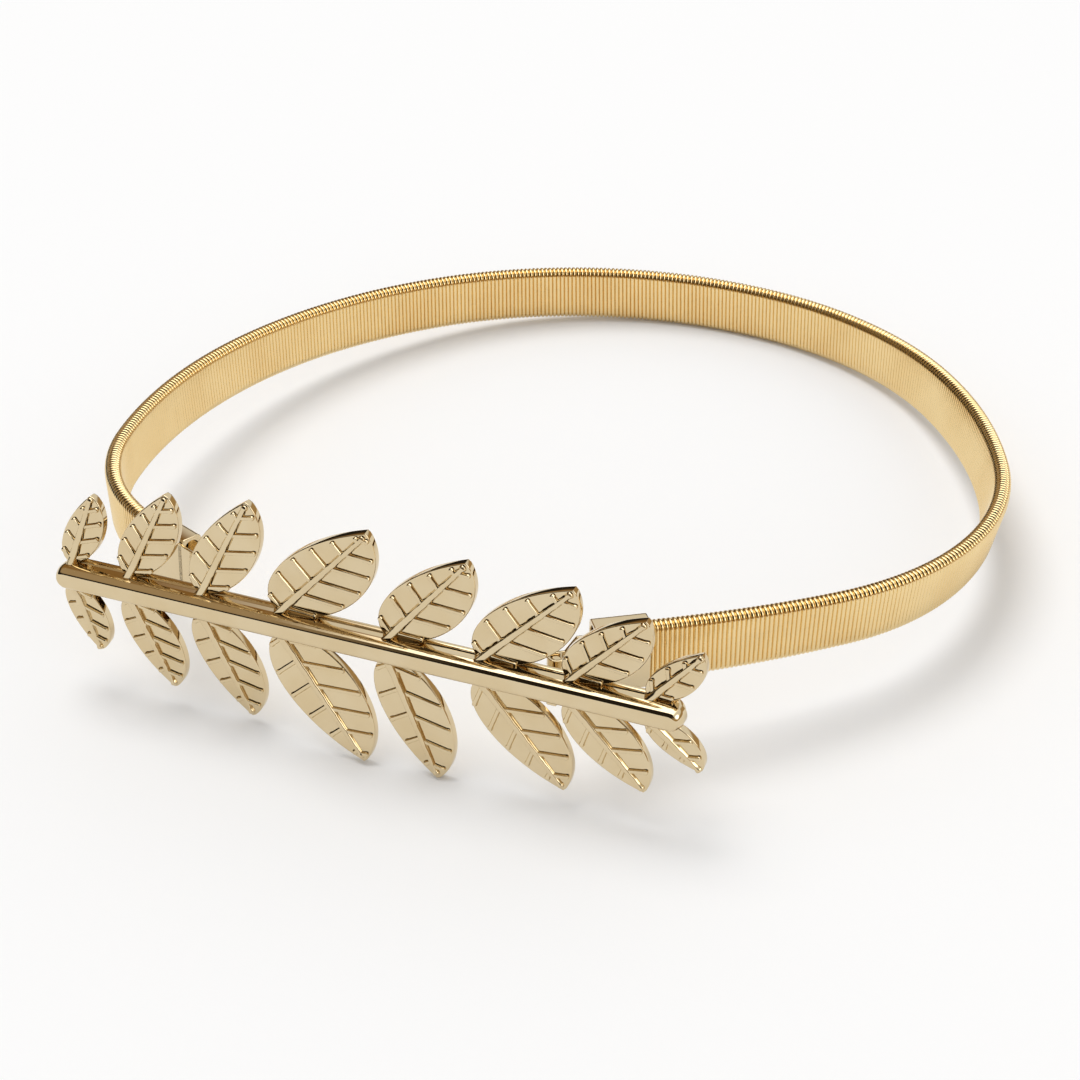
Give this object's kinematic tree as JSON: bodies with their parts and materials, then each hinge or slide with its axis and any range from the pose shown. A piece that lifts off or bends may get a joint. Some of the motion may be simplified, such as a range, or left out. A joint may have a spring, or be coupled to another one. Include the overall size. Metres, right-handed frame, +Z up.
{
  "type": "curtain tieback",
  "caption": "Curtain tieback: a cast leaf sprig with veined leaves, closed into a loop by a flat coiled stretch band whose ends are hooked on posts at its back",
  "frame": {"origin": "middle of the bounding box, on the surface the tieback lies on", "axes": "+X along the sprig towards its tip, +Y from the sprig towards the far side of the loop, +Z up"},
  "size_m": [0.142, 0.1368, 0.0399],
  "materials": {
    "polished_gold": "polished gold plate",
    "satin_gold": "satin gold plate on wound wire"
  },
  "bodies": {
    "root": {"leaf_sprig": "polished_gold", "spring_band": "satin_gold", "ferrule_right": "polished_gold", "ferrule_left": "polished_gold"}
  },
  "joints": []
}
